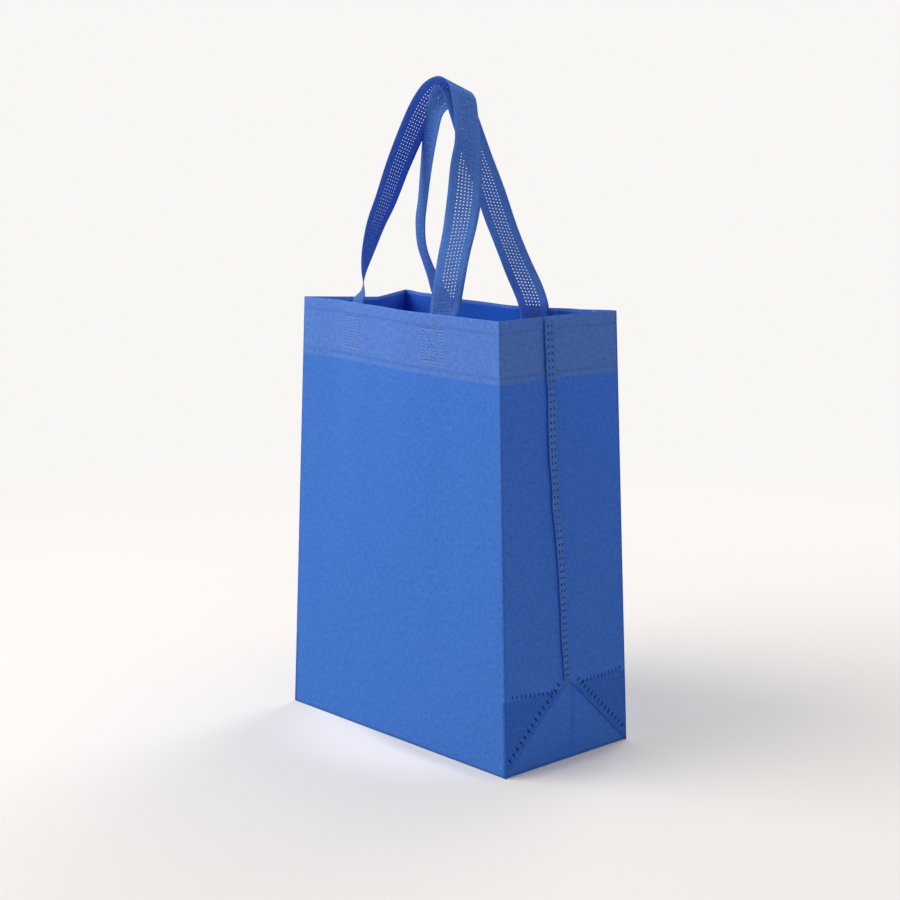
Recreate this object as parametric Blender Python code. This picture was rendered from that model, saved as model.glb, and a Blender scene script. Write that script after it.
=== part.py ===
"""Non-woven tote bag with a boxed bottom and two strap handles. Metres, +Z up.

The front panel faces -Y, the width runs along X, and the origin is on the floor under the middle
of the bottom. The body is one sheet: front, back and side panels, a mouth hem folded to the inside,
a welded seam that stands out as a flange down the middle of each side, and a bottom whose corners
are folded into triangles. The two handles are straps welded to the inside of the hem.
"""

import math

import bmesh
import bpy
from mathutils import Vector

# Bag
HEIGHT = 0.400
BASE_WIDTH = 0.298
BASE_DEPTH = 0.150
CLOTH = 0.0008

# The mouth stands a little off the base: how far each corner has moved by the time it is at the rim
MOUTH_SHIFT = {
    "front_left": (-0.002, 0.021),
    "front_right": (-0.007, -0.004),
    "back_right": (-0.004, -0.011),
    "back_left": (0.008, -0.008),
}
BASE_SHIFT = {
    "front_left": (0.0, 0.0),
    "front_right": (0.0, 0.0),
    "back_right": (0.0, 0.004),
    "back_left": (0.0, -0.002),
}

# Waves of the panels at the rim: share of the panel's run, and how far it is pushed in there
FRONT_WAVE = ((0.0, 0.0), (0.17, 0.005), (0.36, 0.0), (0.58, -0.006), (0.82, -0.002), (1.0, 0.0))
BACK_WAVE = ((0.0, 0.0), (0.15, 0.011), (0.45, 0.029), (0.66, 0.036), (0.75, 0.033), (0.88, 0.016), (1.0, 0.0))
WAVE_FADE = 1.6

# How far the mid seam of each side is pushed in, by share of the height
RIGHT_SEAM = ((0.0, 0.0), (0.2, -0.003), (0.48, -0.003), (0.60, 0.002), (0.75, 0.004), (1.0, 0.006))
LEFT_SEAM = ((0.0, 0.0), (0.2, 0.002), (0.5, 0.012), (0.75, 0.026), (1.0, 0.046))
LEFT_SEAM_DRIFT = -0.06

# Hem, seams and bottom corners
HEM_DEPTH = 0.054
FLANGE_WIDTH = 0.010
FLANGE_THICKNESS = 0.0012
FLANGE_LIFT = 0.0011
CORNER_RISE = BASE_DEPTH / 2
CORNER_RECESS = 0.0011
CORNER_CREASE = 0.0008
CORNER_LAYERS = 3
CORNER_MARGIN = 0.003

# Handles
STRAP_WIDTH = 0.030
STRAP_THICKNESS = 0.0010
STRAP_TUCK = 0.044
STRAP_FREE = 0.012
SEAT_GAP = 0.0008
FRONT_LEGS = (0.078, 0.209)
BACK_LEGS = (0.088, 0.217)

# Fineness of the sheet
PANEL_STEPS = 24
HALF_SIDE_STEPS = 6
STRAP_ACROSS = 4
STRAP_STEP = 0.010

# The way of each handle above the rim, from its left leg over the crown to its right leg: place in
# millimetres, the turn of the strap's width about the vertical, and its own tilt, in degrees
FRONT_WAY = (
    (-73, -51, 402, -25, -3),
    (-68, -50, 409, -34, -3),
    (-66, -51, 421, -42, 2),
    (-66, -50, 431, -50, 6),
    (-66, -45, 448, -62, 10),
    (-63, -38, 472, -73, 13),
    (-57, -31, 494, -80, 15),
    (-49, -22, 527, -86, 18),
    (-39, -12, 560, -92, 20),
    (-31, -5, 580, -98, 22),
    (-18, -1, 594, -106, 24),
    (0, 0, 599, -112, 25),
    (15, -3, 593, -106, 25),
    (24, -7, 580, -98, 24),
    (33, -13, 563, -97, 23),
    (43, -21, 543, -101, 21),
    (49, -29, 525, -116, 16),
    (56, -38, 500, -133, 9),
    (61, -48, 474, -147, -2),
    (64, -58, 450, -153, -7),
    (66, -65, 429, -156, -8),
    (63, -66, 411, -158, -8),
    (62, -67, 402, -162, -6),
)
BACK_WAY = (
    (-56, 36, 403, -14, 6),
    (-59, 29, 421, -24, 9),
    (-61, 24, 434, -27, 8),
    (-62, 18, 451, -26, 3),
    (-56, 11, 473, -25, -3),
    (-47, 6, 494, -26, -6),
    (-33, -2, 527, -22, -4),
    (-24, -5, 555, -15, 3),
    (-18, -5, 571, -8, 9),
    (-10, -3, 582, 25, 0),
    (-6, -2, 589, 38, -14),
    (-1, 0, 592, 46, -21),
    (3, 1, 589, 48, -21),
    (7, 2, 583, 50, -20),
    (12, 3, 571, 54, -18),
    (22, 8, 540, 60, -12),
    (34, 13, 508, 62, -8),
    (44, 17, 479, 62, -8),
    (54, 20, 456, 64, -8),
    (63, 23, 436, 58, -6),
    (73, 26, 415, 32, -3),
    (78, 27, 402, 20, 0),
)

BAG_BLUE = (0.045, 0.120, 0.560, 1.0)
STRAP_BLUE = (0.035, 0.105, 0.520, 1.0)
MM = 0.001


def clear_scene():
    for obj in list(bpy.data.objects):
        bpy.data.objects.remove(obj, do_unlink=True)


def blend_list(points, share):
    """The value at this share of the way, along a smooth line through the given points."""
    for (a, low), (b, high) in zip(points, points[1:]):
        if share <= b:
            along = (share - a) / (b - a)
            return low + (high - low) * (0.5 - 0.5 * math.cos(math.pi * along))
    return points[-1][1]


def corner(name, z):
    """A corner's place at this height, between the base's rectangle and the shifted mouth."""
    side = 1 if "right" in name else -1
    face = 1 if "back" in name else -1
    up = z / HEIGHT
    shift = [low + (high - low) * up for low, high in zip(BASE_SHIFT[name], MOUTH_SHIFT[name])]
    return Vector((side * BASE_WIDTH / 2 + shift[0], face * BASE_DEPTH / 2 + shift[1]))


def outward(direction):
    """The outward normal of a panel that runs anticlockwise, seen from above."""
    return Vector((direction.y, -direction.x)).normalized()


def wide_panel(front, share, z):
    """A point of the front or back panel and its outward normal. Both run left to right."""
    names = ("front_left", "front_right") if front else ("back_left", "back_right")
    wave = FRONT_WAVE if front else BACK_WAVE
    start, end = (corner(name, z) for name in names)
    run = end - start
    out = outward(run) if front else -outward(run)
    fade = (z / HEIGHT) ** WAVE_FADE
    point = start + run * share - out * blend_list(wave, share) * fade
    return point, out


def wide_line(front, z, inset, steps=PANEL_STEPS):
    """Points along the front or back panel from left to right, without its corners."""
    found = []
    for i in range(1, steps):
        point, out = wide_panel(front, i / steps, z)
        found.append(point - out * inset)
    return found


def side_frame(right, z):
    """Front corner, seam and back corner of a side panel, and the side's outward normal."""
    tag = "right" if right else "left"
    front, back = corner("front_" + tag, z), corner("back_" + tag, z)
    run = back - front
    out = outward(run) if right else -outward(run)
    up = z / HEIGHT
    push = blend_list(RIGHT_SEAM if right else LEFT_SEAM, up)
    share = 0.5 if right else 0.5 + LEFT_SEAM_DRIFT * up
    return front, front + run * share - out * push, back, out


def between(start, end, steps):
    """Points from start towards end, without either."""
    return [start.lerp(end, i / steps) for i in range(1, steps)]


def flange_section(front, seam, back, out):
    """The five points that take the outline out round the seam's flange, folded to the front."""
    ahead = (seam - front).normalized()
    lift = Vector((ahead.y, -ahead.x))
    if lift.dot(out) < 0:
        lift.negate()
    behind = (back - seam).normalized()
    tip = seam - ahead * FLANGE_WIDTH
    high = FLANGE_LIFT + FLANGE_THICKNESS
    return [
        seam - ahead * 0.5 * MM,
        tip + lift * FLANGE_LIFT,
        tip + lift * (FLANGE_LIFT + high) / 2 - ahead * 0.3 * MM,
        tip + lift * high,
        seam + behind * 0.8 * MM + lift * 0.2 * MM,
    ]


def fold_section(front, seam, back, out, z):
    """The five points of a bottom corner: fold edge, recess, crease, recess and fold edge."""
    open_share = 1 - z / CORNER_RISE
    reach_front = max((seam - front).length * (1 - open_share), CORNER_MARGIN)
    reach_back = max((back - seam).length * (1 - open_share), CORNER_MARGIN)
    ahead = (seam - front).normalized()
    behind = (back - seam).normalized()
    narrow = min(1.0, open_share * 12)
    step = out * CORNER_RECESS * narrow
    front_fold = front + ahead * min(reach_front, (seam - front).length - 0.4 * MM)
    back_fold = back - behind * min(reach_back, (back - seam).length - 0.4 * MM)
    return [
        front_fold,
        front_fold + ahead * 0.15 * MM - step,
        seam - step - out * CORNER_CREASE * narrow - out * 0.05 * MM,
        back_fold - behind * 0.15 * MM - step,
        back_fold,
    ]


def side_outline(right, z, flange):
    """Outer points of a side panel from front to back, without its corners."""
    front, seam, back, out = side_frame(right, z)
    if flange:
        middle = flange_section(front, seam, back, out)
    else:
        middle = fold_section(front, seam, back, out, z)
    near = between(front, middle[0], HALF_SIDE_STEPS)
    far = between(middle[-1], back, HALF_SIDE_STEPS)
    return near + middle + far


def outer_ring(z, flange):
    """The outer outline at one height, anticlockwise from the front left corner."""
    ring = [corner("front_left", z)] + wide_line(True, z, 0)
    ring += [corner("front_right", z)] + side_outline(True, z, flange)
    ring += [corner("back_right", z)] + wide_line(False, z, 0)[::-1]
    ring += [corner("back_left", z)] + side_outline(False, z, flange)[::-1]
    return [(p.x, p.y, z) for p in ring]


def inner_corner(name, z, inset, side_inset):
    side = 1 if "right" in name else -1
    face = 1 if "back" in name else -1
    return corner(name, z) - Vector((side * side_inset, face * inset))


def inner_side(right, z, side_inset):
    """Inner points of a side panel from front to back, without its corners."""
    front, seam, back, out = side_frame(right, z)
    middle = seam - out * side_inset * 1.2
    start, end = front - out * side_inset, back - out * side_inset
    return between(start, middle, HALF_SIDE_STEPS) + [middle] + between(middle, end, HALF_SIDE_STEPS)


def inner_ring(z, inset, side_inset):
    """The inner outline at one height, point for point with the outer one but for the seams."""
    ring = [inner_corner("front_left", z, inset, side_inset)] + wide_line(True, z, inset)
    ring += [inner_corner("front_right", z, inset, side_inset)] + inner_side(True, z, side_inset)
    ring += [inner_corner("back_right", z, inset, side_inset)] + wide_line(False, z, inset)[::-1]
    ring += [inner_corner("back_left", z, inset, side_inset)] + inner_side(False, z, side_inset)[::-1]
    return [(p.x, p.y, z) for p in ring]


def add_ring(bm, points):
    return [bm.verts.new(p) for p in points]


def skin(bm, low, high):
    """Quads between two rings of as many points."""
    count = len(low)
    for i in range(count):
        j = (i + 1) % count
        bm.faces.new((low[i], low[j], high[j], high[i]))


def outer_heights():
    """Heights of the outer rings: (z, with flange), close together where the seam's flange starts."""
    rise = [CORNER_RISE * i / 8 for i in range(8)]
    rise += [CORNER_RISE - 0.6 * MM]
    start = CORNER_RISE + 0.6 * MM
    tall = [start + (HEIGHT - start) * i / 18 for i in range(19)]
    return [(z, False) for z in rise] + [(z, True) for z in tall]


def inner_levels():
    """Heights of the inner rings: (z, inset of the wide panels, inset of the sides)."""
    thick = CLOTH + CORNER_RECESS + CORNER_LAYERS * CLOTH / 2
    hem_foot = HEIGHT - HEM_DEPTH
    levels = [(CLOTH + CORNER_RECESS, CLOTH, thick)]
    levels += [(CORNER_RISE * i / 3, CLOTH, thick) for i in range(1, 4)]
    levels += [(CORNER_RISE + FLANGE_WIDTH, CLOTH, thick)]
    levels += [(CORNER_RISE + FLANGE_WIDTH + 1.5 * MM, CLOTH, CLOTH)]
    lowest = CORNER_RISE + 2 * FLANGE_WIDTH
    levels += [(lowest + (hem_foot - MM - lowest) * i / 10, CLOTH, CLOTH) for i in range(11)]
    levels += [(hem_foot + 0.5 * MM, 2 * CLOTH, 2 * CLOTH)]
    top = hem_foot + 0.5 * MM
    levels += [(top + (HEIGHT - top) * i / 3, 2 * CLOTH, 2 * CLOTH) for i in range(1, 4)]
    return levels


def close_rim(bm, outer, inner):
    """The rim between both skins, and the flange's cut end at each seam."""
    seams = [PANEL_STEPS + HALF_SIDE_STEPS, 3 * PANEL_STEPS - PANEL_STEPS + 3 * HALF_SIDE_STEPS + 4]
    kept = list(range(len(outer)))
    for first in seams:
        ends = [outer[first + k] for k in range(5)]
        bm.faces.new(ends)
        for k in range(1, 4):
            kept.remove(first + k)
    rim = [outer[k] for k in kept]
    # The rim has two points at each seam where the inner skin has one
    j = 0
    doubled = {outer[first] for first in seams}
    for i, point in enumerate(rim):
        following = rim[(i + 1) % len(rim)]
        if point in doubled:
            bm.faces.new((point, following, inner[j]))
        else:
            ahead = (j + 1) % len(inner)
            bm.faces.new((point, following, inner[ahead], inner[j]))
            j = ahead


def make_body():
    bm = bmesh.new()
    outer = [add_ring(bm, outer_ring(z, flange)) for z, flange in outer_heights()]
    inner = [add_ring(bm, inner_ring(*level)) for level in inner_levels()]
    for low, high in zip(outer, outer[1:]):
        skin(bm, low, high)
    for low, high in zip(inner, inner[1:]):
        skin(bm, low, high)
    bm.faces.new(outer[0])
    bm.faces.new(inner[0])
    close_rim(bm, outer[-1], inner[-1])
    return finish_mesh(bm, "bag_body", BAG_BLUE)


def finish_mesh(bm, name, colour):
    bmesh.ops.recalc_face_normals(bm, faces=bm.faces)
    mesh = bpy.data.meshes.new(name)
    bm.to_mesh(mesh)
    bm.free()
    mesh.shade_smooth()
    mesh.set_sharp_from_angle(angle=math.radians(35))
    mesh.materials.append(cloth_material(name, colour))
    obj = bpy.data.objects.new(name, mesh)
    bpy.context.scene.collection.objects.link(obj)
    return obj


def cloth_material(name, colour):
    material = bpy.data.materials.new(name + "_cloth")
    material.use_nodes = True
    shader = material.node_tree.nodes["Principled BSDF"]
    shader.inputs["Base Color"].default_value = colour
    shader.inputs["Roughness"].default_value = 0.85
    shader.inputs["Metallic"].default_value = 0.0
    return material


def leg_section(front, run, z):
    """The strap's points across its width where it lies on the inside of the hem."""
    start, end = wide_panel(front, 0, z)[0], wide_panel(front, 1, z)[0]
    length = (end - start).length
    seat = 2 * CLOTH + SEAT_GAP
    found = []
    for k in range(STRAP_ACROSS + 1):
        panel = (run + STRAP_WIDTH * (k / STRAP_ACROSS - 0.5)) / length
        point, out = wide_panel(front, panel, z)
        # The local slope of the wave turns the normal a little
        ahead, _ = wide_panel(front, min(panel + 0.01, 1), z)
        slope = (ahead - point).normalized()
        normal = outward(slope) if front else -outward(slope)
        middle = point - normal * (seat + STRAP_THICKNESS / 2)
        found.append((Vector((middle.x, middle.y, z)), Vector((normal.x, normal.y, 0))))
    return found


def free_section(place, width_way, normal):
    found = []
    for k in range(STRAP_ACROSS + 1):
        found.append((place + width_way * STRAP_WIDTH * (k / STRAP_ACROSS - 0.5), normal))
    return found


def way_points(way):
    """Each station as a place in metres with the turn and the tilt in radians."""
    return [(Vector(row[:3]) * MM, math.radians(row[3]), math.radians(row[4])) for row in way]


def smooth_way(knots, share):
    """Catmull-Rom through the knots, each a place, a turn and a tilt."""
    last = len(knots) - 1
    at = min(int(share * last), last - 1)
    t = share * last - at
    four = [knots[min(max(at + k, 0), last)] for k in (-1, 0, 1, 2)]
    weights = (
        -0.5 * t + t * t - 0.5 * t**3,
        1 - 2.5 * t * t + 1.5 * t**3,
        0.5 * t + 2 * t * t - 1.5 * t**3,
        -0.5 * t * t + 0.5 * t**3,
    )
    place = sum((w * knot[0] for w, knot in zip(weights, four)), Vector())
    turn, tilt = (sum(w * knot[k] for w, knot in zip(weights, four)) for k in (1, 2))
    return place, turn, tilt


def free_sections(way):
    """Sections of the strap above the rim, turned and tilted as the stations say."""
    knots = way_points(way)
    count = round(sum((b[0] - a[0]).length for a, b in zip(knots, knots[1:])) / STRAP_STEP)
    found = []
    for i in range(count + 1):
        share = i / count
        place, turn, tilt = smooth_way(knots, share)
        ahead = smooth_way(knots, min(share + 0.01, 1))[0]
        behind = smooth_way(knots, max(share - 0.01, 0))[0]
        tangent = (ahead - behind).normalized()
        flat = math.cos(tilt)
        width = Vector((math.cos(turn) * flat, math.sin(turn) * flat, math.sin(tilt)))
        found.append(free_section(place, width, width.cross(tangent).normalized()))
    return found


def strap_mesh(sections, name):
    """A flat band lofted through its sections, each a row of points with their normals."""
    bm = bmesh.new()
    half = STRAP_THICKNESS / 2
    rings = []
    for row in sections:
        top = [point + normal * half for point, normal in row]
        under = [point - normal * half for point, normal in row]
        rings.append(add_ring(bm, top + under[::-1]))
    for low, high in zip(rings, rings[1:]):
        skin(bm, low, high)
    bm.faces.new(rings[0])
    bm.faces.new(rings[-1])
    return finish_mesh(bm, name, STRAP_BLUE)


def leg_sections(front, run, reverse):
    """Sections of one leg from its lower end to where it leaves the hem, or down again when reversed."""
    heights = [HEIGHT - STRAP_TUCK + (STRAP_TUCK - STRAP_FREE) * i / 4 for i in range(5)]
    rows = [leg_section(front, run, z) for z in heights]
    return rows[::-1] if reverse else rows


def make_handle(name, front, runs, way):
    left = leg_sections(front, runs[0], False)
    right = leg_sections(front, runs[1], True)
    # The strap's normal at its left leg looks outwards; it stays on the same face all the way
    free = free_sections(way)
    if free[0][0][1].dot(left[-1][0][1]) < 0:
        free = [[(point, -normal) for point, normal in row] for row in free]
    if free[-1][0][0].x > free[-1][-1][0].x:
        right = [row[::-1] for row in right]
    if free[-1][0][1].dot(right[0][0][1]) < 0:
        right = [[(point, -normal) for point, normal in row] for row in right]
    return strap_mesh(left + free + right, name)


clear_scene()
make_body()
make_handle("front_handle", True, FRONT_LEGS, FRONT_WAY)
make_handle("back_handle", False, BACK_LEGS, BACK_WAY)
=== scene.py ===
import math

import bmesh
import bpy
from mathutils import Matrix, Vector


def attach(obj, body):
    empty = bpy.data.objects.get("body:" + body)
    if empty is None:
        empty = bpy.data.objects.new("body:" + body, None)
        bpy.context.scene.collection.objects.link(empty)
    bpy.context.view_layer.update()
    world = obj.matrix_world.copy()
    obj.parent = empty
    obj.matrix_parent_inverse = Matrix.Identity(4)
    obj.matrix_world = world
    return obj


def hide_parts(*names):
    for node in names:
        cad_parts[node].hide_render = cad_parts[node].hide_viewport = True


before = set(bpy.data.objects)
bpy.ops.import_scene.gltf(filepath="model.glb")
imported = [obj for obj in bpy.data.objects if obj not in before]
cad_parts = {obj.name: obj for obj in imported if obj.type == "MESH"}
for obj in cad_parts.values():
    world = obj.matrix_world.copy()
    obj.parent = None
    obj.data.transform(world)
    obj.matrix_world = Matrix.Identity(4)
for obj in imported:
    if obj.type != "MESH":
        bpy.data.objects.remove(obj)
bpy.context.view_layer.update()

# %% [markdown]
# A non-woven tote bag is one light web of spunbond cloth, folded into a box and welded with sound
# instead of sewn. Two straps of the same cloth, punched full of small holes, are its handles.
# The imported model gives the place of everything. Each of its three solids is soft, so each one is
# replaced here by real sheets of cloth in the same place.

# %% [markdown]
# Camera, floor and light come first, so that every later step can be looked at. The camera stands
# a little above the rim and to the front right, on a 70 mm lens, which keeps the upright edges
# nearly parallel. The floor is a wide sheet of paper, and where the camera looks far along it, it
# passes into the pale backdrop, so that no horizon shows.

# %% Camera
AZIMUTH, ELEVATION = math.radians(47.09), math.radians(10.24)
DISTANCE = 1.701
AIM_RIGHT, AIM_UP = -0.0022, 0.2590
LENS, SENSOR_WIDTH = 70.76, 36.0


def aim_camera():
    back = Vector((
        math.sin(AZIMUTH) * math.cos(ELEVATION),
        -math.cos(AZIMUTH) * math.cos(ELEVATION),
        math.sin(ELEVATION),
    ))
    right = Vector((math.cos(AZIMUTH), math.sin(AZIMUTH), 0.0))
    up = back.cross(right)
    data = bpy.data.cameras.new("camera")
    data.sensor_width = SENSOR_WIDTH
    data.lens = LENS
    obj = bpy.data.objects.new("camera", data)
    bpy.context.scene.collection.objects.link(obj)
    obj.location = back * DISTANCE + right * AIM_RIGHT + up * AIM_UP
    obj.rotation_euler = Matrix((right, up, back)).transposed().to_euler()
    bpy.context.scene.camera = obj
    return obj


camera = aim_camera()
print("camera at", [round(x, 3) for x in camera.location])

# %% Floor and backdrop
# The camera sees FLOOR_COLOUR, and the bag gets the darker FLOOR_BOUNCE back from the paper.
FLOOR_COLOUR = (0.93, 0.895, 0.866, 1.0)
FLOOR_BOUNCE = (0.62, 0.61, 0.60, 1.0)
FLOOR_SIZE = 14.0
BACKDROP_COLOUR = (0.945, 0.922, 0.905, 1.0)
FADE_START, FADE_END = 0.20, 1.50


def camera_or_glossy(nodes, links):
    """1 for rays that come from the camera or from a reflection, 0 for the rest."""
    path = nodes.new("ShaderNodeLightPath")
    either = nodes.new("ShaderNodeMath")
    either.operation = "MAXIMUM"
    links.new(path.outputs["Is Camera Ray"], either.inputs[0])
    links.new(path.outputs["Is Glossy Ray"], either.inputs[1])
    return either.outputs["Value"]


def paper_material():
    """Matt paper that takes shadows near the bag and passes into the pale backdrop further off."""
    material = bpy.data.materials.new("paper_floor")
    material.use_nodes = True
    nodes, links = material.node_tree.nodes, material.node_tree.links
    shader = nodes["Principled BSDF"]
    shader.inputs["Roughness"].default_value = 0.9
    shader.inputs["Specular IOR Level"].default_value = 0.1
    seen = camera_or_glossy(nodes, links)
    tint = nodes.new("ShaderNodeMix")
    tint.data_type = "RGBA"
    tint.inputs["A"].default_value = FLOOR_BOUNCE
    tint.inputs["B"].default_value = FLOOR_COLOUR
    links.new(seen, tint.inputs["Factor"])
    links.new(tint.outputs["Result"], shader.inputs["Base Color"])
    place = nodes.new("ShaderNodeTexCoord")
    distance = nodes.new("ShaderNodeVectorMath")
    distance.operation = "LENGTH"
    links.new(place.outputs["Object"], distance.inputs[0])
    fade = nodes.new("ShaderNodeMapRange")
    fade.interpolation_type = "SMOOTHSTEP"
    fade.inputs["From Min"].default_value = FADE_START
    fade.inputs["From Max"].default_value = FADE_END
    links.new(distance.outputs["Value"], fade.inputs["Value"])
    share = nodes.new("ShaderNodeMath")
    share.operation = "MULTIPLY"
    links.new(seen, share.inputs[0])
    links.new(fade.outputs["Result"], share.inputs[1])
    backdrop = nodes.new("ShaderNodeEmission")
    backdrop.inputs["Color"].default_value = BACKDROP_COLOUR
    mix = nodes.new("ShaderNodeMixShader")
    links.new(share.outputs["Value"], mix.inputs["Fac"])
    links.new(shader.outputs["BSDF"], mix.inputs[1])
    links.new(backdrop.outputs["Emission"], mix.inputs[2])
    links.new(mix.outputs["Shader"], nodes["Material Output"].inputs["Surface"])
    return material


def lay_floor():
    bm = bmesh.new()
    bmesh.ops.create_grid(bm, x_segments=1, y_segments=1, size=FLOOR_SIZE)
    mesh = bpy.data.meshes.new("floor")
    bm.to_mesh(mesh)
    bm.free()
    mesh.materials.append(paper_material())
    floor = bpy.data.objects.new("floor", mesh)
    bpy.context.scene.collection.objects.link(floor)
    return floor


floor = lay_floor()
print("floor:", [round(x, 1) for x in floor.dimensions])

# %% World and lamps
WORLD_LIGHT = 0.53
KEY_POWER = 64.0
REAR_POWER = 22.0
MOUTH_POWER = 40.0


def light_world():
    world = bpy.data.worlds.new("studio")
    bpy.context.scene.world = world
    world.use_nodes = True
    nodes, links = world.node_tree.nodes, world.node_tree.links
    background = nodes["Background"]
    background.inputs["Color"].default_value = (1.0, 0.99, 0.98, 1.0)
    background.inputs["Strength"].default_value = WORLD_LIGHT
    seen = nodes.new("ShaderNodeBackground")
    seen.inputs["Color"].default_value = BACKDROP_COLOUR
    mix = nodes.new("ShaderNodeMixShader")
    links.new(camera_or_glossy(nodes, links), mix.inputs["Fac"])
    links.new(background.outputs["Background"], mix.inputs[1])
    links.new(seen.outputs["Background"], mix.inputs[2])
    links.new(mix.outputs["Shader"], nodes["World Output"].inputs["Surface"])


def area_lamp(name, place, target, size, power, colour=(1.0, 1.0, 1.0)):
    data = bpy.data.lights.new(name, "AREA")
    data.shape = "DISK"
    data.size = size
    data.energy = power
    data.color = colour
    obj = bpy.data.objects.new(name, data)
    bpy.context.scene.collection.objects.link(obj)
    obj.location = place
    obj.rotation_euler = (Vector(target) - Vector(place)).to_track_quat("-Z", "Y").to_euler()


light_world()
area_lamp("key", (-1.3, -2.0, 1.8), (0, 0, 0.25), 2.8, KEY_POWER, (1.0, 0.985, 0.96))
area_lamp("rear", (-0.6, 2.2, 1.5), (0, 0, 0.35), 1.6, REAR_POWER)
mouth_lamp = bpy.data.lights.new("mouth", "SPOT")
mouth_lamp.energy = MOUTH_POWER
mouth_lamp.spot_size = math.radians(8.5)
mouth_lamp.spot_blend = 0.4
mouth_lamp.shadow_soft_size = 0.04
mouth = bpy.data.objects.new("mouth", mouth_lamp)
mouth.location = (0.0, 0.0, 2.3)
bpy.context.scene.collection.objects.link(mouth)
bpy.context.scene.view_settings.view_transform = "Standard"

# %% [markdown]
# The bag's plan. Every sheet is placed by the same few functions, which give a point of a panel
# for a share of its run and a height. The base is a neat rectangle, and the mouth has drifted from
# it: the corners have moved, the back panel sags in, and the left side folds inwards.

# %% Sizes of the bag
MM = 0.001
HEIGHT = 0.400
BASE_WIDTH = 0.298
BASE_DEPTH = 0.150
SHEET = 0.45 * MM
HEM_DEPTH = 0.054
FLANGE_WIDTH = 0.010
CORNER_RISE = BASE_DEPTH / 2
CORNER_RECESS = 1.1 * MM
STRAP_WIDTH = 0.030
STRAP_TUCK = 0.044
STRAP_FREE = 0.012

MOUTH_SHIFT = {
    "front_left": (-0.002, 0.021),
    "front_right": (-0.007, -0.004),
    "back_right": (-0.004, -0.011),
    "back_left": (0.008, -0.008),
}
BASE_SHIFT = {
    "front_left": (0.0, 0.0),
    "front_right": (0.0, 0.0),
    "back_right": (0.002, 0.006),
    "back_left": (0.0, -0.002),
}
# Pairs of a share of the run and how far the cloth lies inwards there, in metres.
FRONT_WAVE = ((0.0, 0.0), (0.17, 0.005), (0.36, 0.0), (0.58, -0.006), (0.82, -0.002), (1.0, 0.0))
BACK_WAVE = (
    (0.0, 0.0), (0.15, 0.011), (0.45, 0.029), (0.66, 0.036),
    (0.75, 0.033), (0.88, 0.016), (1.0, 0.0),
)
WAVE_FADE = 1.6
RIGHT_SEAM = ((0.0, 0.0), (0.2, -0.003), (0.48, -0.003), (0.60, 0.002), (0.75, 0.004), (1.0, 0.006))
LEFT_SEAM = ((0.0, 0.0), (0.2, 0.002), (0.5, 0.012), (0.75, 0.026), (1.0, 0.046))
LEFT_SEAM_DRIFT = -0.06

# %% Plan of the panels


def eased(points, share):
    """The value at this share, along a smooth line through the given points."""
    for (a, low), (b, high) in zip(points, points[1:]):
        if share <= b:
            return low + (high - low) * (0.5 - 0.5 * math.cos(math.pi * (share - a) / (b - a)))
    return points[-1][1]


def corner(name, z):
    side = 1 if "right" in name else -1
    face = 1 if "back" in name else -1
    up = z / HEIGHT
    shift = [low + (high - low) * up for low, high in zip(BASE_SHIFT[name], MOUTH_SHIFT[name])]
    return Vector((side * BASE_WIDTH / 2 + shift[0], face * BASE_DEPTH / 2 + shift[1]))


def outward(run):
    return Vector((run.y, -run.x)).normalized()


def wide_panel(front, share, z):
    """A point of the front or back panel and its outward normal. Both run left to right."""
    names = ("front_left", "front_right") if front else ("back_left", "back_right")
    start, end = (corner(name, z) for name in names)
    run = end - start
    out = outward(run) if front else -outward(run)
    fade = (z / HEIGHT) ** WAVE_FADE
    return start + run * share - out * eased(FRONT_WAVE if front else BACK_WAVE, share) * fade, out


def side_panel(right, share, z):
    """A point of a side panel from front (0) over its mid seam (0.5) to back (1), and the normal."""
    tag = "right" if right else "left"
    front, back = corner("front_" + tag, z), corner("back_" + tag, z)
    run = back - front
    out = outward(run) if right else -outward(run)
    up = z / HEIGHT
    push = eased(RIGHT_SEAM if right else LEFT_SEAM, up)
    seam = front + run * (0.5 if right else 0.5 + LEFT_SEAM_DRIFT * up) - out * push
    if share <= 0.5:
        point = front.lerp(seam, share * 2)
    else:
        point = seam.lerp(back, share * 2 - 1)
    return point, out


for z in (0.0, HEIGHT):
    print("plan at", z, [tuple(round(x, 3) for x in corner(name, z)) for name in MOUTH_SHIFT])

# %% [markdown]
# The cloth. Spunbond cloth is a felt of fine fibres, pressed all over with a lattice of tiny
# points. It scatters light and lets much of it through, which is why the inside glows a deeper
# blue than the lit outside. The lattice and the fibres follow the sheet, so they are drawn on the
# sheet's own UV map, which is laid out in metres.

# %% Cloth finish
CLOTH_BLUE = (0.128, 0.390, 1.000, 1.0)
CLOTH_DEEP = (0.004, 0.180, 0.840, 1.0)
LATTICE_PITCH = 1.15 * MM
DARK_FIBRES = (0.70, 0.74, 0.84)
LIGHT_FIBRES = 1.24
PRESSED_TINT = (0.70, 0.80, 0.96, 1.0)


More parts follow.
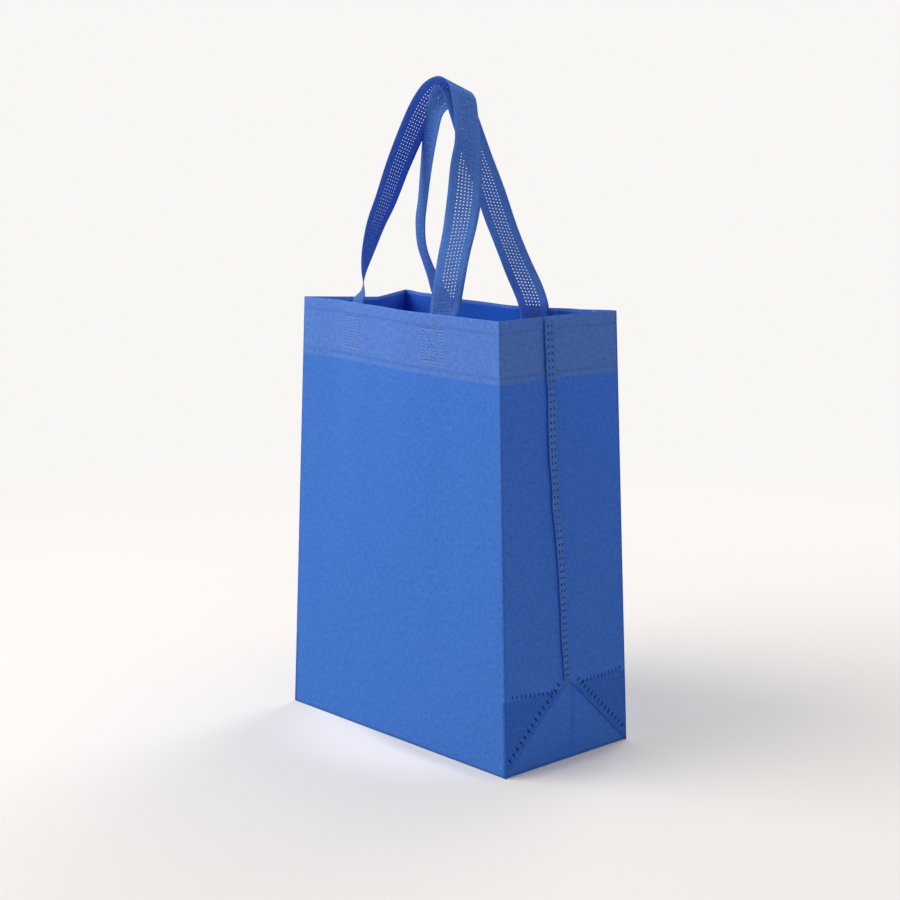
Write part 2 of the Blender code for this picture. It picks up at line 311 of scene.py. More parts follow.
def lattice(nodes, links, uv):
    """Round pressed points on a diagonal lattice: 1 in the middle of each, 0 between them."""
    scale = nodes.new("ShaderNodeVectorMath")
    scale.operation = "SCALE"
    scale.inputs["Scale"].default_value = 2 * math.pi / LATTICE_PITCH
    links.new(uv, scale.inputs[0])
    split = nodes.new("ShaderNodeSeparateXYZ")
    links.new(scale.outputs["Vector"], split.inputs["Vector"])
    waves = []
    for axis in ("X", "Y"):
        wave = nodes.new("ShaderNodeMath")
        wave.operation = "SINE"
        links.new(split.outputs[axis], wave.inputs[0])
        waves.append(wave)
    both = nodes.new("ShaderNodeMath")
    both.operation = "MULTIPLY"
    for wave, socket in zip(waves, both.inputs):
        links.new(wave.outputs["Value"], socket)
    spots = nodes.new("ShaderNodeMapRange")
    spots.inputs["From Min"].default_value = 0.05
    spots.inputs["From Max"].default_value = 0.75
    links.new(both.outputs["Value"], spots.inputs["Value"])
    return spots.outputs["Result"]


def cloth_finish(name, front, through, share, lattice_depth=0.5):
    """Felted cloth: a matt reflecting face mixed with one that lets light through."""
    material = bpy.data.materials.new(name)
    material.use_nodes = True
    nodes, links = material.node_tree.nodes, material.node_tree.links
    shader = nodes["Principled BSDF"]
    shader.inputs["Roughness"].default_value = 0.72
    shader.inputs["Specular IOR Level"].default_value = 0.05
    shader.inputs["Sheen Weight"].default_value = 0.05
    shader.inputs["Sheen Roughness"].default_value = 0.55
    uv = nodes.new("ShaderNodeUVMap")
    uv.uv_map = "sheet"
    pressed = lattice(nodes, links, uv.outputs["UV"])
    fibres = nodes.new("ShaderNodeTexNoise")
    fibres.inputs["Scale"].default_value = 900.0
    fibres.inputs["Detail"].default_value = 3.0
    links.new(uv.outputs["UV"], fibres.inputs["Vector"])
    cloud = nodes.new("ShaderNodeTexNoise")
    cloud.inputs["Scale"].default_value = 300.0
    cloud.inputs["Detail"].default_value = 4.0
    links.new(uv.outputs["UV"], cloud.inputs["Vector"])
    tone = nodes.new("ShaderNodeMath")
    tone.operation = "ADD"
    links.new(cloud.outputs["Fac"], tone.inputs[0])
    links.new(fibres.outputs["Fac"], tone.inputs[1])
    grade = nodes.new("ShaderNodeMapRange")
    grade.inputs["From Min"].default_value = 0.72
    grade.inputs["From Max"].default_value = 1.28
    links.new(tone.outputs["Value"], grade.inputs["Value"])
    shade = nodes.new("ShaderNodeMix")
    shade.data_type = "RGBA"
    dark = [value * drop for value, drop in zip(front[:3], DARK_FIBRES)]
    light = [min(1.0, value * LIGHT_FIBRES) for value in front[:3]]
    shade.inputs["A"].default_value = dark + [1.0]
    shade.inputs["B"].default_value = light + [1.0]
    links.new(grade.outputs["Result"], shade.inputs["Factor"])
    spotted = nodes.new("ShaderNodeMix")
    spotted.data_type = "RGBA"
    spotted.blend_type = "MULTIPLY"
    spotted.inputs["B"].default_value = PRESSED_TINT
    fade = nodes.new("ShaderNodeMath")
    fade.operation = "MULTIPLY"
    fade.inputs[1].default_value = lattice_depth
    links.new(pressed, fade.inputs[0])
    links.new(fade.outputs["Value"], spotted.inputs["Factor"])
    links.new(shade.outputs["Result"], spotted.inputs["A"])
    links.new(spotted.outputs["Result"], shader.inputs["Base Color"])
    height = nodes.new("ShaderNodeMath")
    height.operation = "SUBTRACT"
    links.new(tone.outputs["Value"], height.inputs[0])
    links.new(pressed, height.inputs[1])
    bump = nodes.new("ShaderNodeBump")
    bump.inputs["Strength"].default_value = 0.6
    bump.inputs["Distance"].default_value = 0.0002
    links.new(height.outputs["Value"], bump.inputs["Height"])
    links.new(bump.outputs["Normal"], shader.inputs["Normal"])
    glow = nodes.new("ShaderNodeBsdfTranslucent")
    glow.inputs["Color"].default_value = through
    links.new(bump.outputs["Normal"], glow.inputs["Normal"])
    mix = nodes.new("ShaderNodeMixShader")
    mix.inputs["Fac"].default_value = share
    links.new(shader.outputs["BSDF"], mix.inputs[1])
    links.new(glow.outputs["BSDF"], mix.inputs[2])
    links.new(mix.outputs["Shader"], nodes["Material Output"].inputs["Surface"])
    return material


bag_cloth = cloth_finish("bag_cloth", CLOTH_BLUE, CLOTH_DEEP, 0.52)
# Painted light and shade: the hem really is two layers of cloth, and this greyer, less see-through copy of
# the cloth paints how the doubled cloth reflects more light and lets less through.
hem_painted_shading = cloth_finish("hem_painted_shading", (0.160, 0.345, 0.860, 1.0), CLOTH_DEEP, 0.36)
# Painted shade: the low corners of the side panels, over the folded layers, get this darker copy of the
# cloth.
corner_painted_shade = cloth_finish("corner_painted_shade", (0.050, 0.180, 0.640, 1.0), CLOTH_DEEP, 0.20, lattice_depth=0.7)
strap_cloth = cloth_finish("strap_cloth", (0.132, 0.305, 0.660, 1.0), (0.002, 0.175, 0.720, 1.0), 0.48)
# Painted shade: the inside of the hem is the same cloth, given a darker, more saturated copy for the shade
# inside the bag.
hem_inside_painted_shade = cloth_finish("hem_inside_painted_shade", (0.050, 0.270, 0.860, 1.0), CLOTH_DEEP, 0.50)
flange_cloth = cloth_finish("flange_cloth", (0.125, 0.315, 0.780, 1.0), CLOTH_DEEP, 0.36)
cloths = (bag_cloth, hem_painted_shading, hem_inside_painted_shade, corner_painted_shade, flange_cloth, strap_cloth)
print("finishes:", [material.name for material in cloths])

# %% [markdown]
# A weld is a spot where a hot tool has melted the layers into one. It is smoother than the felt, and darker
# where it is pressed in furthest. Where a strap is welded to the hem, each shallow weld is drawn as a pale
# dot with a dark dot painted just above it as its painted shadow, so the welds have four finishes.

# %% Weld finish


def weld_finish(name, dark, light):
    material = bpy.data.materials.new(name)
    material.use_nodes = True
    nodes, links = material.node_tree.nodes, material.node_tree.links
    shader = nodes["Principled BSDF"]
    shader.inputs["Roughness"].default_value = 0.6
    shader.inputs["Specular IOR Level"].default_value = 0.06
    place = nodes.new("ShaderNodeTexCoord")
    grain = nodes.new("ShaderNodeTexNoise")
    grain.inputs["Scale"].default_value = 420.0
    links.new(place.outputs["Object"], grain.inputs["Vector"])
    shade = nodes.new("ShaderNodeMix")
    shade.data_type = "RGBA"
    shade.inputs["A"].default_value = dark
    shade.inputs["B"].default_value = light
    links.new(grain.outputs["Fac"], shade.inputs["Factor"])
    links.new(shade.outputs["Result"], shader.inputs["Base Color"])
    return material


melted = weld_finish("melted_weld", (0.003, 0.026, 0.150, 1.0), (0.010, 0.050, 0.250, 1.0))
pressed_row = weld_finish("pressed_row", (0.055, 0.150, 0.520, 1.0), (0.085, 0.205, 0.640, 1.0))
pale_dot = weld_finish("pale_dot", (0.220, 0.320, 0.600, 1.0), (0.340, 0.410, 0.660, 1.0))
# Painted shadow: a dark dot laid just above each pale dot as the shade of its emboss.
dot_painted_shadow = weld_finish("dot_painted_shadow", (0.040, 0.090, 0.300, 1.0), (0.090, 0.130, 0.330, 1.0))
print("finishes:", melted.name, pressed_row.name, pale_dot.name, dot_painted_shadow.name)

# %% [markdown]
# One grid can be any panel: create_grid gives a flat net of squares, each of its points is moved
# to where a plan function says, and its UV map keeps the flat lengths. The web goes up to the rim,
# over it and down the inside as the hem, so the hem is the same sheet and not a band laid on.

# %% Helpers for sheets
SMOOTH_ANGLE = 35


def sheet_grid(bm, columns, rows, place):
    """A grid of columns by rows cells, with place(share across, share up) for its points."""
    made = bmesh.ops.create_grid(bm, x_segments=columns, y_segments=rows, size=0.5)["verts"]
    uv_layer = bm.loops.layers.uv["sheet"]
    flat = {vert: (vert.co.x + 0.5, vert.co.y + 0.5) for vert in made}
    spots = {vert: place(*flat[vert]) for vert in made}
    faces = {face for vert in made for face in vert.link_faces}
    for face in faces:
        for loop in face.loops:
            loop[uv_layer].uv = spots[loop.vert][1]
    for vert in made:
        vert.co = spots[vert][0]
    return made


def new_sheet():
    bm = bmesh.new()
    bm.loops.layers.uv.new("sheet")
    return bm


def finish_sheet(bm, name, materials, thickness=SHEET, offset=-1.0, merge=True):
    """Turns the bmesh into an object, faces outwards, with the cloth's thickness to the inside."""
    if merge:
        bmesh.ops.remove_doubles(bm, verts=bm.verts, dist=0.02 * MM)
    mesh = bpy.data.meshes.new(name)
    bm.to_mesh(mesh)
    bm.free()
    mesh.shade_smooth()
    mesh.set_sharp_from_angle(angle=math.radians(SMOOTH_ANGLE))
    for material in materials:
        mesh.materials.append(material)
    obj = bpy.data.objects.new(name, mesh)
    bpy.context.scene.collection.objects.link(obj)
    solid = obj.modifiers.new("cloth thickness", "SOLIDIFY")
    solid.thickness = thickness
    solid.offset = offset
    solid.use_even_offset = False
    return obj


def count_faces(obj):
    return len(obj.data.polygons)


# %% The web of the bag
PANEL_COLUMNS = 96
SIDE_COLUMNS = 56
ROWS_BELOW, ROWS_ABOVE, ROWS_HEM = 24, 104, 18
FOLD_ROWS = 4
FOLD_GAP = 0.55 * MM
FOLD_LENGTH = math.pi * FOLD_GAP / 2
SHEET_SINK = 0.25 * MM

front_start = 0.0
right_start = BASE_WIDTH
back_start = BASE_WIDTH + BASE_DEPTH
left_start = 2 * BASE_WIDTH + BASE_DEPTH


def ripple(u, z):
    """The soft unevenness of a big sheet that has been folded flat before, outwards in metres."""
    swell = math.sin(u * 31.0 + 1.3) * math.sin(z * 17.0 + 0.4 + u * 5.0)
    creases = math.sin(u * 83.0 + z * 34.0) * math.sin(z * 41.0 - u * 19.0)
    edge = min(1.0, z / 0.05)
    return (0.45 * swell + 0.22 * creases) * MM * edge


def panel_point(name, share, z):
    """Point and outward normal of a panel, with its share counted as the web runs."""
    if name == "front":
        point, out = wide_panel(True, share, z)
        u = front_start + share * BASE_WIDTH
    elif name == "right":
        point, out = side_panel(True, share, z)
        u = right_start + share * BASE_DEPTH
    elif name == "back":
        point, out = wide_panel(False, 1 - share, z)
        u = back_start + share * BASE_WIDTH
    else:
        point, out = side_panel(False, 1 - share, z)
        u = left_start + share * BASE_DEPTH
    calm = min(1.0, share / 0.04, (1 - share) / 0.04)
    if name in ("right", "left"):
        calm = min(calm, abs(share - 0.5) / 0.04)
    point = point + out * ripple(u, z) * calm
    return Vector((point.x, point.y, z)), Vector((out.x, out.y, 0.0)), u


def layer_normal(name, share, z):
    """Outward normal for laying one layer on another: the cloth's own, and the panel's at its edges."""
    _, out, _ = panel_point(name, share, z)
    if name in ("front", "back"):
        return out
    near = panel_point(name, max(share - 0.01, 0.0), z)[0]
    far = panel_point(name, min(share + 0.01, 1.0), z)[0]
    across = (far - near).cross(Vector((0, 0, 1))).normalized()
    if across.dot(out) < 0:
        across.negate()
    own = min(1.0, share / 0.03, (1 - share) / 0.03, abs(share - 0.5) / 0.03)
    return out.lerp(across, own).normalized()


def over_the_rim(name, share, run):
    """A point of the web at this length along it: up the outside, over the rim, down the inside."""
    if run <= HEIGHT:
        point, _, u = panel_point(name, share, run)
        return point - layer_normal(name, share, run) * SHEET_SINK, (u, run)
    down = run - HEIGHT
    turn = min(down / FOLD_LENGTH, 1.0) * math.pi
    z = HEIGHT - max(down - FOLD_LENGTH, 0.0)
    point, _, u = panel_point(name, share, z)
    inside = FOLD_GAP * (1 - math.cos(turn)) / 2
    lift = FOLD_GAP / 2 * math.sin(turn)
    point = point - layer_normal(name, share, z) * (SHEET_SINK + inside)
    return Vector((point.x, point.y, z + lift)), (u, run)


def row_lengths(low, rows):
    """Lengths along the web for a panel's rows. Both layers of the hem have theirs at the same heights."""
    plain, hem_foot = rows - ROWS_HEM, HEIGHT - HEM_DEPTH
    rising = [low + (hem_foot - low) * i / plain for i in range(plain)]
    rising += [hem_foot + HEM_DEPTH * i / ROWS_HEM for i in range(ROWS_HEM + 1)]
    folding = [HEIGHT + FOLD_LENGTH * i / FOLD_ROWS for i in range(1, FOLD_ROWS + 1)]
    hem = HEM_DEPTH / ROWS_HEM
    falling = [folding[-1] + hem * i for i in range(1, ROWS_HEM + 1)]
    return rising + folding + falling


def add_panel(bm, name, low, rows, columns):
    lengths = row_lengths(low, rows)
    steps = len(lengths) - 1
    return sheet_grid(
        bm, columns, steps,
        lambda across, up: over_the_rim(name, across, lengths[round(up * steps)]),
    )


def lower_front(bm, name):
    """The foot of the front or back panel, as tall as the triangles of the corners."""
    return sheet_grid(
        bm, PANEL_COLUMNS, ROWS_BELOW,
        lambda across, up: over_the_rim(name, across, CORNER_RISE * up),
    )


def lower_side(bm, name, near):
    """Half of a side panel's foot: from an upright corner to the slanting fold of the bottom."""
    def place(across, up):
        z = CORNER_RISE * up
        reach = 0.5 * z / CORNER_RISE
        share = reach * across if near else 1 - reach + reach * across
        return over_the_rim(name, share, z)

    return sheet_grid(bm, SIDE_COLUMNS // 2, ROWS_BELOW, place)


HEM_SHADING_SLOT, CORNER_SHADE_SLOT, INSIDE_SHADE_SLOT = 1, 2, 3


def dress_layers(bm):
    """Gives the doubled hem, the inside of the hem and the tripled cloth of the folded corners their own
    finish: painted light and shade for the light the layers hold back, greyer on the hem and darker inside
    and at the corners.
    """
    uv_layer = bm.loops.layers.uv["sheet"]
    for face in bm.faces:
        middle = face.calc_center_median()
        # Painted shade: the inner layer of the hem, past the rim, gets the darker copy of the cloth.
        if face.loops[0][uv_layer].uv.y > HEIGHT + 2 * MM:
            face.material_index = INSIDE_SHADE_SLOT
        # Painted light and shade: the outer layer of the hem gets the greyer copy of the cloth.
        elif middle.z > HEIGHT - HEM_DEPTH:
            face.material_index = HEM_SHADING_SLOT
        # Painted shade: the sides' low corners get the darker copy of the cloth.
        elif middle.z < CORNER_RISE - 0.006 and abs(middle.x) > BASE_WIDTH / 2 - 0.0035:
            face.material_index = CORNER_SHADE_SLOT


def weave_body():
    bm = new_sheet()
    for name in ("front", "right", "back", "left"):
        columns = PANEL_COLUMNS if name in ("front", "back") else SIDE_COLUMNS
        add_panel(bm, name, CORNER_RISE, ROWS_ABOVE, columns)
    for name in ("front", "back"):
        lower_front(bm, name)
    for name in ("right", "left"):
        lower_side(bm, name, True)
        lower_side(bm, name, False)
    dress_layers(bm)
    return finish_sheet(bm, "bag_web", (bag_cloth, hem_painted_shading, corner_painted_shade, hem_inside_painted_shade))


bag_web = weave_body()
print("web:", count_faces(bag_web), "faces")

# %% [markdown]
# The boxed bottom. The web's foot is folded under like the end of a parcel: on each side a triangle
# of the bottom stands up the wall between two slanting folds, a little behind the layers beside it,
# with a crease down its middle. The bottom itself lies flat on the floor.

# %% Corner triangles and bottom
TRIANGLE_TUCK = 0.006


def triangle_point(right, across, up):
    """Across from the front fold to the back fold, up from the floor to the triangle's tip."""
    z = CORNER_RISE * up
    reach = 0.5 * up
    wide = max(0.5 - reach, 0.0) + TRIANGLE_TUCK / BASE_DEPTH
    share = 0.5 + (2 * across - 1) * min(wide, 0.498)
    point, out = side_panel(right, share, z)
    aside = share - 0.54
    groove = max(0.0, 1 - abs(aside) / 0.020) * 2.2 * MM
    swell = max(0.0, 1 - abs(aside + 0.05) / 0.05) * 1.0 * MM
    crease = (groove - swell) * min(1.0, (1 - up) * 6, up * 5)
    depth = CORNER_RECESS * min(1.0, (1 - up) * 5 + 0.35) + crease
    point = point - out * depth
    u = (right_start if right else left_start) + share * BASE_DEPTH
    return Vector((point.x, point.y, z + 0.3 * MM)), (u, z)


def fold_triangles():
    bm = new_sheet()
    for right in (True, False):
        made = sheet_grid(bm, 48, 24, lambda across, up: triangle_point(right, across, up))
        if not right:
            bmesh.ops.reverse_faces(bm, faces=list({f for v in made for f in v.link_faces}))
    return finish_sheet(bm, "corner_triangles", (bag_cloth,))


def lay_bottom():
    bm = new_sheet()

    def place(across, up):
        front, _ = wide_panel(True, across, 0.0)
        back, _ = wide_panel(False, across, 0.0)
        inset = 0.012
        point = front.lerp(back, inset + (1 - 2 * inset) * up)
        middle = (corner("front_left", 0) + corner("back_right", 0)) / 2
        point = middle + (point - middle) * 0.994
        return Vector((point.x, point.y, 0.5 * MM)), (across * BASE_WIDTH, up * BASE_DEPTH)

    made = sheet_grid(bm, 48, 24, place)
    bmesh.ops.reverse_faces(bm, faces=list({f for v in made for f in v.link_faces}))
    return finish_sheet(bm, "bag_bottom", (bag_cloth,))


corner_triangles = fold_triangles()
bag_bottom = lay_bottom()
print("bottom:", count_faces(corner_triangles), "and", count_faces(bag_bottom), "faces")

# %% [markdown]
# Down the middle of each side runs the seam that closes the web: its two edges are welded together
# and stand out as a narrow flange, which has been pressed flat towards the front.

# %% Side flanges
FLANGE_COLUMNS = 8
FLANGE_ROWS = 150
FLANGE_LAYERS = 1.0 * MM


def flange_point(right, across, z, lift):
    """A point of the flange and its normal, across from the seam (0) to the free edge (1)."""
    front, _ = side_panel(right, 0.0, z)
    seam, out = side_panel(right, 0.5, z)
    ahead = (seam - front).normalized()
    normal = Vector((ahead.y, -ahead.x))
    if normal.dot(out) < 0:
        normal.negate()
    up = min(max((z - CORNER_RISE) / (HEIGHT - CORNER_RISE), 0.0), 1.0)
    wander = 0.35 * MM * math.sin(z * 71.0) + 0.25 * MM * math.sin(z * 163.0 + 1.0)
    sway = (0.8 + 1.8 * up + 2.5 * math.sin(math.pi * up)) * MM
    reach = sway + across * (0.6 * FLANGE_WIDTH + 6.4 * MM * up**0.8 + wander)
    stand = 0.25 * MM + 1.0 * MM * across**0.7
    place = seam - ahead * reach + normal * (stand + lift)
    return Vector((place.x, place.y, z)), normal


def add_flange(right):
    bm = new_sheet()
    low = CORNER_RISE + 0.8 * MM
    high = HEIGHT - 0.2 * MM

    def place(across, up):
        z = low + (high - low) * up
        return flange_point(right, across, z, FLANGE_LAYERS / 2)[0], (across * FLANGE_WIDTH, z)

    made = sheet_grid(bm, FLANGE_COLUMNS, FLANGE_ROWS, place)
    if right:
        bmesh.ops.reverse_faces(bm, faces=list({f for v in made for f in v.link_faces}))
    name = "seam_flange_right" if right else "seam_flange_left"
    return finish_sheet(bm, name, (flange_cloth,), thickness=FLANGE_LAYERS, offset=0.0)


seam_flanges = [add_flange(True), add_flange(False)]
print("flanges:", [count_faces(obj) for obj in seam_flanges])

# %% [markdown]
# The welds. A row is a list of spots with a direction and a normal, and each spot gets the same
# small flat oval: a circle of eight points, pulled longer along its row. They lie a hair above
# the cloth, which is enough for them to show and too little to see from the side.

# %% Weld spots
WELD_LIFT = 0.12 * MM


def add_spot(bm, place, along, normal, length, width):
    """One weld, a flat oval of this length and width that lies square to the normal."""
    across = normal.cross(along).normalized()
    along = along.normalized()
    made = bmesh.ops.create_circle(bm, cap_ends=True, radius=0.5, segments=8)["verts"]
    frame_of = Matrix((
        (along.x * length, across.x * width, normal.x, place.x),
        (along.y * length, across.y * width, normal.y, place.y),
        (along.z * length, across.z * width, normal.z, place.z),
        (0, 0, 0, 1),
    ))
    bmesh.ops.transform(bm, matrix=frame_of, verts=made)


def spot_on_panel(bm, name, share, z, along_share, length, width):
    """A weld on the outside of a panel. along_share is 1 for a level spot and 0 for an upright one."""
    point, out, _ = panel_point(name, share, z)
    ahead, _, _ = panel_point(name, min(share + 0.004, 1.0), z)
    level = (ahead - point).normalized()
    normal = level.cross(Vector((0, 0, 1))).normalized()
    if normal.dot(out) < 0:
        normal.negate()
    along = level * along_share + Vector((0, 0, 1)) * (1 - abs(along_share))
    add_spot(bm, point + normal * (WELD_LIFT - SHEET_SINK), along, normal, length, width)


HEM_ROW_HIGH = HEIGHT - 0.0105
HEM_ROW_LOW = HEIGHT - 0.0485
FLANGE_COVERS = (0.385, 0.50)
BOX_WIDTH, BOX_HEIGHT, BOX_PITCH = 0.026, 0.028, 2.8 * MM
BOX_FOOT = HEIGHT - 0.042
PANEL_LENGTHS = {"front": BASE_WIDTH, "right": BASE_DEPTH, "back": BASE_WIDTH, "left": BASE_DEPTH}


def weld_hem():
    """Two rows of short upright ticks round the mouth, which hold the hem down."""
    bm = bmesh.new()
    pitch = 2.1 * MM
    for name, length in PANEL_LENGTHS.items():
        count = round(length / pitch)
        for i in range(count):
            share = (i + 0.5) / count
            if name in ("right", "left") and FLANGE_COVERS[0] < share < FLANGE_COVERS[1]:
                continue
            for z, tall in ((HEM_ROW_HIGH, 2.4 * MM), (HEM_ROW_LOW, 2.8 * MM)):
                spot_on_panel(bm, name, share, z, 0.0, tall, 0.75 * MM)
    return bm


def weld_box(bm, name, centre, bottom):
    """A square of round welds with a cross in it, where a strap is welded to the hem."""
    steps, rises = round(BOX_WIDTH / BOX_PITCH), round(BOX_HEIGHT / BOX_PITCH)
    spots = [(BOX_WIDTH * (i / steps - 0.5), z) for i in range(steps + 1) for z in (0.0, BOX_HEIGHT)]
    for i in range(1, rises):
        rise = BOX_HEIGHT * i / rises
        for half in (-BOX_WIDTH / 2, BOX_WIDTH / 2):
            spots += [(half, rise), (half * (2 * i / rises - 1), rise)]
    for across, up in spots:
        spot_on_panel(bm, name, (centre + across) / BASE_WIDTH, bottom + up, 1.0, 1.3 * MM, 1.3 * MM)


FRONT_LEGS = (0.078, 0.209)
BACK_LEGS = (0.088, 0.217)


def finish_welds(bm, name, finish=melted):
    bmesh.ops.recalc_face_normals(bm, faces=bm.faces)
    mesh = bpy.data.meshes.new(name)
    bm.to_mesh(mesh)
    bm.free()
    mesh.shade_smooth()
    mesh.materials.append(finish)
    obj = bpy.data.objects.new(name, mesh)
    bpy.context.scene.collection.objects.link(obj)
    return obj


hem_welds = finish_welds(weld_hem(), "hem_welds", pressed_row)
strap_welds = []
# Each strap weld is drawn twice: a pale dot, and a dark dot 1.2 mm higher as its painted shadow.
for part_name, finish, rise in (("pale", pale_dot, 0.0), ("painted_shadow", dot_painted_shadow, 1.2 * MM)):
    box_bm = bmesh.new()
    for front_run, back_run in zip(FRONT_LEGS, BACK_LEGS):
        weld_box(box_bm, "front", front_run, BOX_FOOT + rise)
        weld_box(box_bm, "back", BASE_WIDTH - back_run, BOX_FOOT + rise)
    strap_welds.append(finish_welds(box_bm, "strap_welds_" + part_name, finish))
print("hem welds:", count_faces(hem_welds), "and", [count_faces(obj) for obj in strap_welds])

# %% Welds of the flanges and the bottom corners


def weld_flange(bm, right):
    """Pairs of round spots all the way down the flange."""
    pitch = 6.0 * MM
    low = CORNER_RISE + 0.005
    count = int((HEIGHT - 0.004 - low) / pitch)
    for i in range(count + 1):
        z = low + pitch * i
        for across in (0.30, 0.72):
            place, normal = flange_point(right, across, z, FLANGE_LAYERS + 0.05 * MM)
            add_spot(bm, place, Vector((0, 0, 1)), Vector((normal.x, normal.y, 0)), 2.4 * MM, 2.2 * MM)


TICK_PITCH = 6.2 * MM
TICK_OFFSET = 0.008
ROW_SPOTS = 11


def weld_corner(bm, name):
    """Ticks along both slanting folds and the level rows that close the folded layers above."""
    count = int(math.hypot(CORNER_RISE, CORNER_RISE) / TICK_PITCH)
    for i in range(1, count):
        along = i / count
        inner = 0.5 * along - TICK_OFFSET / BASE_DEPTH
        for slant, share in ((1, inner), (-1, 1 - inner)):
            if 0.03 < share < 0.97:
                z = CORNER_RISE * along + 0.002
                spot_on_panel(bm, name, share, z, -0.5 * slant, 5.6 * MM, 1.9 * MM)
    for start, run, below, drop in ((0.06, 0.34, 0.003, 0.006), (0.95, -0.32, 0.004, 0.002)):
        for i in range(ROW_SPOTS):
            near = i / (ROW_SPOTS - 1)
            z = CORNER_RISE - below - drop * near
            spot_on_panel(bm, name, start + run * near, z, 0.0, 3.8 * MM, 1.5 * MM)


seam_bm = bmesh.new()
for right in (True, False):
    weld_flange(seam_bm, right)
for name in ("right", "left"):
    weld_corner(seam_bm, name)
seam_welds = finish_welds(seam_bm, "seam_welds")
print("seam welds:", count_faces(seam_welds))

# %% [markdown]
# The handles are straps of the same cloth, with five columns of punched holes. A strap
# starts as a flat net whose middle cells are inset, rounded and opened, and is then laid along its
# way: up out of the hem, twisting as it rises, over the crown and down again.

# %% The way of each handle
# Each row is x, y and z in millimetres, and how far the width is turned and tilted there, in degrees.
FRONT_WAY = (
    (-73, -51, 402, -25, -3),
    (-68, -50, 409, -34, -3),
    (-66, -51, 421, -42, 2),
    (-66, -50, 431, -50, 6),
    (-66, -45, 448, -62, 10),
    (-63, -38, 472, -73, 13),
    (-57, -31, 494, -80, 15),
    (-49, -22, 527, -86, 18),
    (-39, -12, 560, -92, 20),
    (-31, -5, 580, -98, 22),
    (-18, -1, 594, -106, 24),
    (0, 0, 599, -112, 25),
    (15, -3, 593, -106, 25),
    (24, -7, 580, -98, 24),
    (33, -13, 563, -97, 23),
    (43, -21, 543, -101, 21),
    (49, -29, 525, -116, 16),
    (56, -38, 500, -133, 9),
    (61, -48, 474, -147, -2),
    (64, -58, 450, -153, -7),
    (66, -65, 429, -156, -8),
    (63, -66, 411, -158, -8),
    (62, -67, 402, -162, -6),
)
BACK_WAY = (
    (-56, 36, 403, -14, 6),
    (-59, 29, 421, -24, 9),
    (-61, 24, 434, -27, 8),
    (-62, 18, 451, -26, 3),
    (-56, 11, 473, -25, -3),
    (-47, 6, 494, -26, -6),
    (-33, -2, 527, -22, -4),
    (-24, -5, 555, -15, 3),
    (-18, -5, 571, -8, 9),
    (-10, -3, 582, 25, 0),
    (-6, -2, 589, 38, -14),
    (-1, 0, 592, 46, -21),
    (3, 1, 589, 48, -21),
    (7, 2, 583, 50, -20),
    (12, 3, 571, 54, -18),
    (22, 8, 540, 60, -12),
    (34, 13, 508, 62, -8),
    (44, 17, 479, 62, -8),
    (54, 20, 456, 64, -8),
    (63, 23, 436, 58, -6),
    (73, 26, 415, 32, -3),
    (78, 27, 402, 20, 0),
)
SEAT = 2.9 * MM
WAY_STEP = 1.0 * MM
SPLINE_STEPS = 24


def leg_station(front, run, z):
    """The strap's middle and its width direction where it lies inside the hem."""
    start, end = wide_panel(front, 0, z)[0], wide_panel(front, 1, z)[0]
    share = run / (end - start).length
    left, middle, right = (wide_panel(front, share + aside, z)[0] for aside in (-0.05, 0.0, 0.05))
    width = (right - left).normalized()
    normal = outward(width) if front else -outward(width)
    middle = middle - normal * SEAT
    return Vector((middle.x, middle.y, z)), Vector((width.x, width.y, 0.0))


def handle_stations(front, runs, way):
    """Place and width direction of the strap at each station, from its left end to its right."""
    welded = STRAP_TUCK - STRAP_FREE
    found = [leg_station(front, runs[0], HEIGHT - STRAP_TUCK + welded * i / 3) for i in range(4)]
    for x, y, z, turn, tilt in way:
        turn, tilt = math.radians(turn), math.radians(tilt)
        flat = math.cos(tilt)
        width = Vector((math.cos(turn) * flat, math.sin(turn) * flat, math.sin(tilt)))
        found.append((Vector((x, y, z)) * MM, width))
    sign = 1 if way[-1][3] > -90 else -1
    for i in range(4):
        place, width = leg_station(front, runs[1], HEIGHT - STRAP_FREE - welded * i / 3)
        found.append((place, width * sign))
    return found


def spline(four, t):
    weights = (
        -0.5 * t + t * t - 0.5 * t**3,
        1 - 2.5 * t * t + 1.5 * t**3,
        0.5 * t + 2 * t * t - 1.5 * t**3,
        -0.5 * t * t + 0.5 * t**3,
    )
    return sum((w * value for w, value in zip(weights, four)), Vector())


def fine_way(stations):
    """The same way in even steps of length: a list of (place, width direction)."""
    last = len(stations) - 1
    dense = []
    for at in range(last):
        four = [stations[min(max(at + k, 0), last)] for k in (-1, 0, 1, 2)]
        for i in range(SPLINE_STEPS):
            place = spline([s[0] for s in four], i / SPLINE_STEPS)
            width = spline([s[1] for s in four], i / SPLINE_STEPS).normalized()
            dense.append((place, width))
    dense.append(stations[-1])
    lengths = [0.0]
    for (a, _), (b, _) in zip(dense, dense[1:]):
        lengths.append(lengths[-1] + (b - a).length)
    total = lengths[-1]
    count = round(total / WAY_STEP)
    even, at = [], 0
    for i in range(count + 1):
        want = total * i / count
        while at < len(lengths) - 2 and lengths[at + 1] < want:
            at += 1
        t = (want - lengths[at]) / max(lengths[at + 1] - lengths[at], 1e-9)
        place = dense[at][0].lerp(dense[at + 1][0], t)
        width = dense[at][1].lerp(dense[at + 1][1], t).normalized()
        even.append((place, width))
    return even, total


ways = {
    "front_strap": fine_way(handle_stations(True, FRONT_LEGS, FRONT_WAY)),
    "back_strap": fine_way(handle_stations(False, BACK_LEGS, BACK_WAY)),
}
print("strap lengths:", {name: round(total, 3) for name, (_, total) in ways.items()})

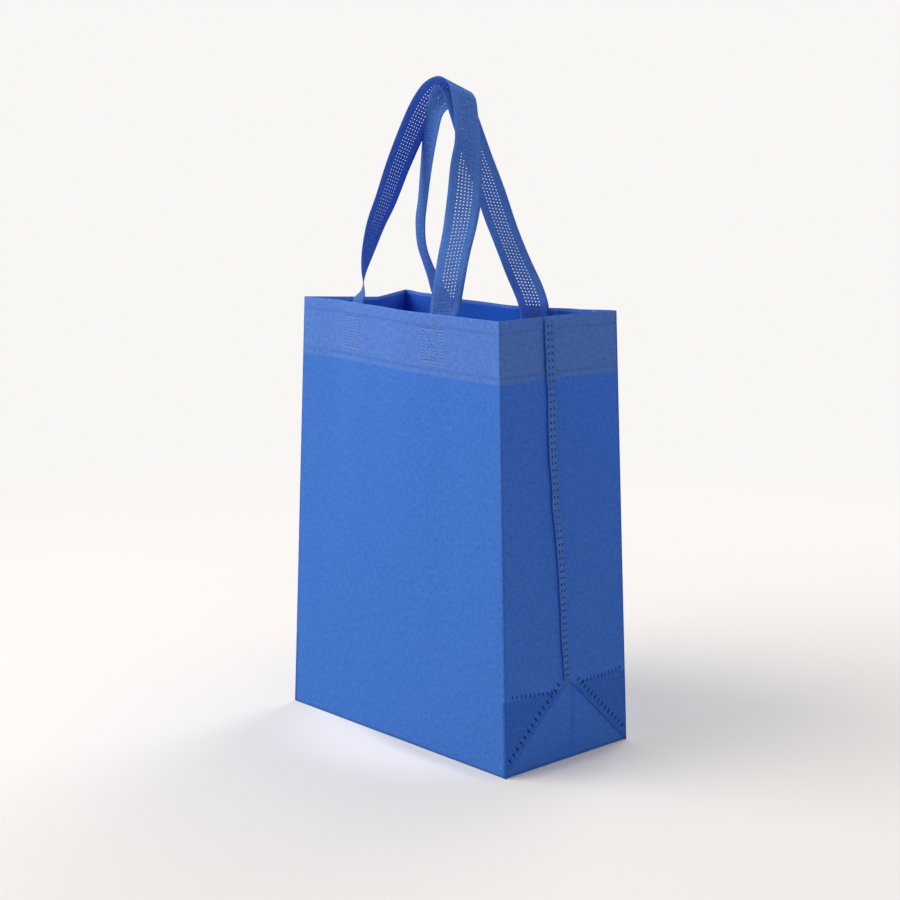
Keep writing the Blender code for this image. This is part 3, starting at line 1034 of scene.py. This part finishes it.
# %% Punched straps
HOLE_PITCH = 3.10 * MM
HOLE_SIZE = 1.12 * MM
HOLE_COLUMNS = 5
HOLE_SHARE = 0.832
PLAIN_END = 6 * MM
STRAP_THICKNESS = 0.6 * MM


def punch(bm, cells):
    """Opens a round hole in the middle of each of these square faces."""
    border = (HOLE_PITCH - HOLE_SIZE) / 2
    bmesh.ops.inset_individual(bm, faces=cells, thickness=border, depth=0.0, use_even_offset=True)
    corners = list({vert for face in cells for vert in face.verts})
    bmesh.ops.bevel(
        bm, geom=corners, offset=0.29 * HOLE_SIZE, segments=1, profile=0.5, affect="VERTICES", material=-1
    )
    holes = [face for face in bm.faces if len(face.verts) == 8]
    bmesh.ops.delete(bm, geom=holes, context="FACES_ONLY")
    return len(holes)


def flat_strap(total):
    """The strap before it is bent: x across its width, y along its length."""
    bm = new_sheet()
    rows = int(total / HOLE_PITCH)
    pitch = total / rows
    margin = (STRAP_WIDTH - HOLE_COLUMNS * HOLE_PITCH) / 2
    lines = [0.0, margin * 0.5, margin]
    lines += [margin + HOLE_PITCH * i for i in range(1, HOLE_COLUMNS)]
    lines += [STRAP_WIDTH - margin, STRAP_WIDTH - margin * 0.5, STRAP_WIDTH]
    columns = len(lines) - 1
    sheet_grid(
        bm, columns, rows,
        lambda across, up: (
            Vector((lines[round(across * columns)], up * total, 0)),
            (lines[round(across * columns)], up * total),
        ),
    )
    plain_rows = int(PLAIN_END / pitch) + 1
    cells = []
    for face in bm.faces:
        middle = face.calc_center_median()
        row = int(middle.y / pitch)
        if margin < middle.x < STRAP_WIDTH - margin and plain_rows <= row < rows - plain_rows:
            cells.append(face)
    return bm, punch(bm, cells)


def bend_strap(bm, even, total):
    """Lays the flat strap along its way."""
    last = len(even) - 1
    for vert in bm.verts:
        across, along = vert.co.x, vert.co.y
        at = min(max(along / total * last, 0.0), last - 1e-6)
        i = int(at)
        place = even[i][0].lerp(even[i + 1][0], at - i)
        width = even[i][1].lerp(even[i + 1][1], at - i).normalized()
        vert.co = place + width * (across - STRAP_WIDTH / 2)


def make_strap(name):
    even, total = ways[name]
    bm, holes = flat_strap(total)
    bend_strap(bm, even, total)
    cut_area = STRAP_WIDTH * total - holes * HOLE_SHARE * HOLE_SIZE**2
    strap = finish_sheet(bm, name, (strap_cloth,), STRAP_THICKNESS, offset=0.0, merge=False)
    return strap, cut_area


front_strap, front_area = make_strap("front_strap")
back_strap, back_area = make_strap("back_strap")
print("straps:", count_faces(front_strap), count_faces(back_strap), "faces")

# %% [markdown]
# Each piece is parented to the empty body:root, and the three solids of the imported model are hidden.

# %% Ties to the imported model
for piece in (bag_web, corner_triangles, bag_bottom, *seam_flanges, hem_welds, *strap_welds, seam_welds):
    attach(piece, "root")
for piece in (front_strap, back_strap):
    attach(piece, "root")
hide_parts("bag_body")
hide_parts("front_handle")
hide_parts("back_handle")
